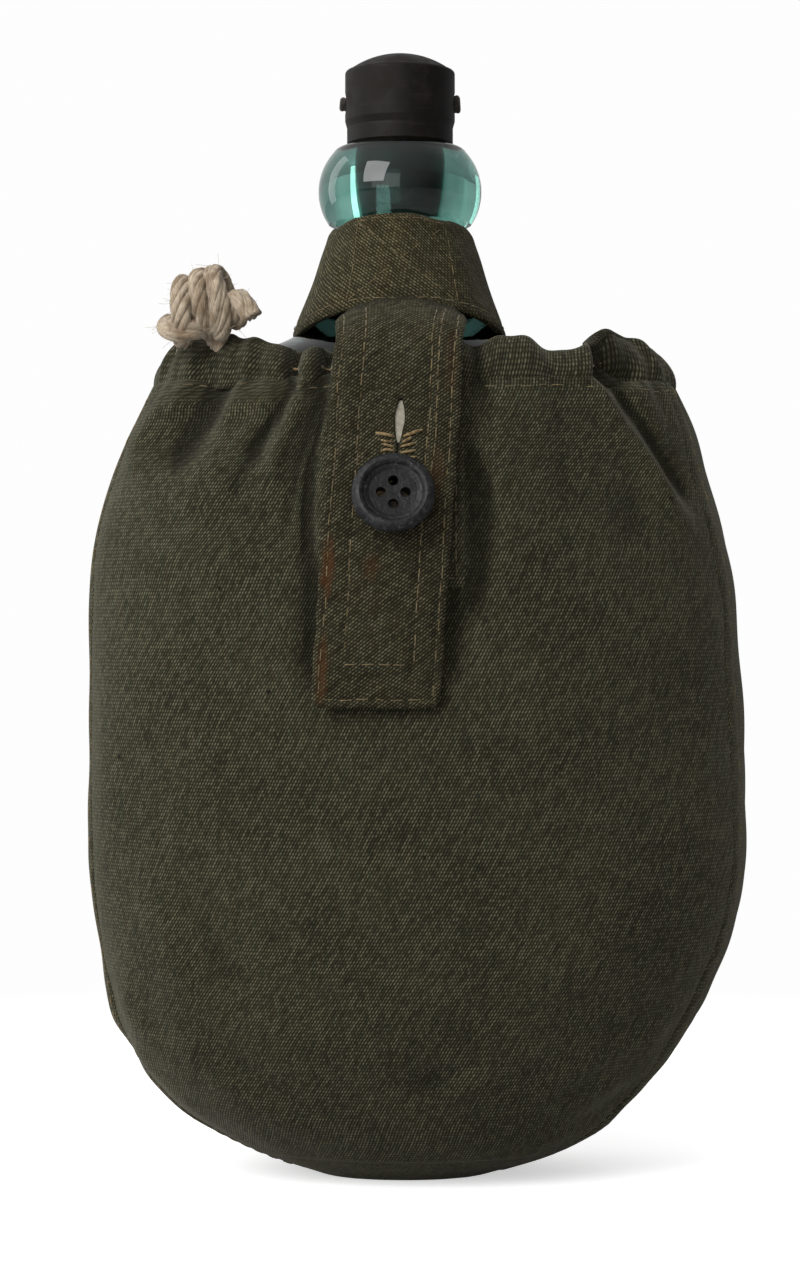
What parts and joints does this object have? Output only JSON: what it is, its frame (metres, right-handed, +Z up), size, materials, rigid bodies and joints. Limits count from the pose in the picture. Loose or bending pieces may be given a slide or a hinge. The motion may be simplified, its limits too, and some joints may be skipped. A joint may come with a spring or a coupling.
{
  "type": "cloth-covered glass canteen",
  "caption": "Flattened glass flask in a buttoned olive cotton cover, with a rubber stopper and a drawstring mouth.",
  "frame": {"origin": "centre of the flat base that the flask stands on", "axes": "+Z up through the neck, -Y out of the buttoned front, +X to the right seen from the front"},
  "size_m": [0.1358, 0.0948, 0.2288],
  "materials": {
    "glass": "blown, slightly wavy",
    "rubber": "matte moulded rubber",
    "lace": "waxed lace",
    "cover_cloth": "washed cotton twill",
    "band_cloth": "double cotton twill",
    "tab_cloth": "double cotton twill",
    "cotton_rope": "twisted cotton",
    "button": "worn satin",
    "button_thread": "linen thread",
    "stitching": "cotton thread"
  },
  "bodies": {
    "flask": {"glass_flask": "glass", "front_panel": "cover_cloth", "back_panel": "cover_cloth", "mouth_hem": "cover_cloth", "neck_band": "band_cloth", "tab_root": "band_cloth", "button_patch": "cover_cloth", "belt_strap": "band_cloth", "drawstring": "cotton_rope", "drawstring_knot": "cotton_rope", "button_shank": "button_thread", "side_seam_thread": "stitching", "hem_thread": "stitching", "neck_band_thread": "stitching", "patch_thread": "stitching", "belt_strap_thread": "stitching"},
    "stopper": {"rubber_stopper": "rubber", "stopper_lace": "lace"},
    "tab": {"tab": "tab_cloth", "tab_lining": "tab_cloth", "tab_thread": "stitching", "buttonhole_thread": "stitching"},
    "button": {"button": "button", "button_thread": "button_thread"}
  },
  "joints": [
    {"name": "stopper_pull", "type": "slide", "parent": "flask", "child": "stopper", "axis": [0, 0, 1], "range_m": [0, 0.045]},
    {"name": "tab_swing", "type": "hinge", "parent": "flask", "child": "tab", "pos_m": [0, -0.017, 0.1754], "axis": [-1, 0, 0], "range_deg": [0, 110], "deforming": ["tab", "tab_lining", "tab_thread", "buttonhole_thread"]},
    {"name": "button_turn", "type": "hinge", "parent": "flask", "child": "button", "pos_m": [-0.0013, -0.042, 0.1364], "axis": [0, -0.9563, 0.2924], "range_deg": [-25, 25], "stiffness_Nm_per_rad": 0.0002}
  ]
}
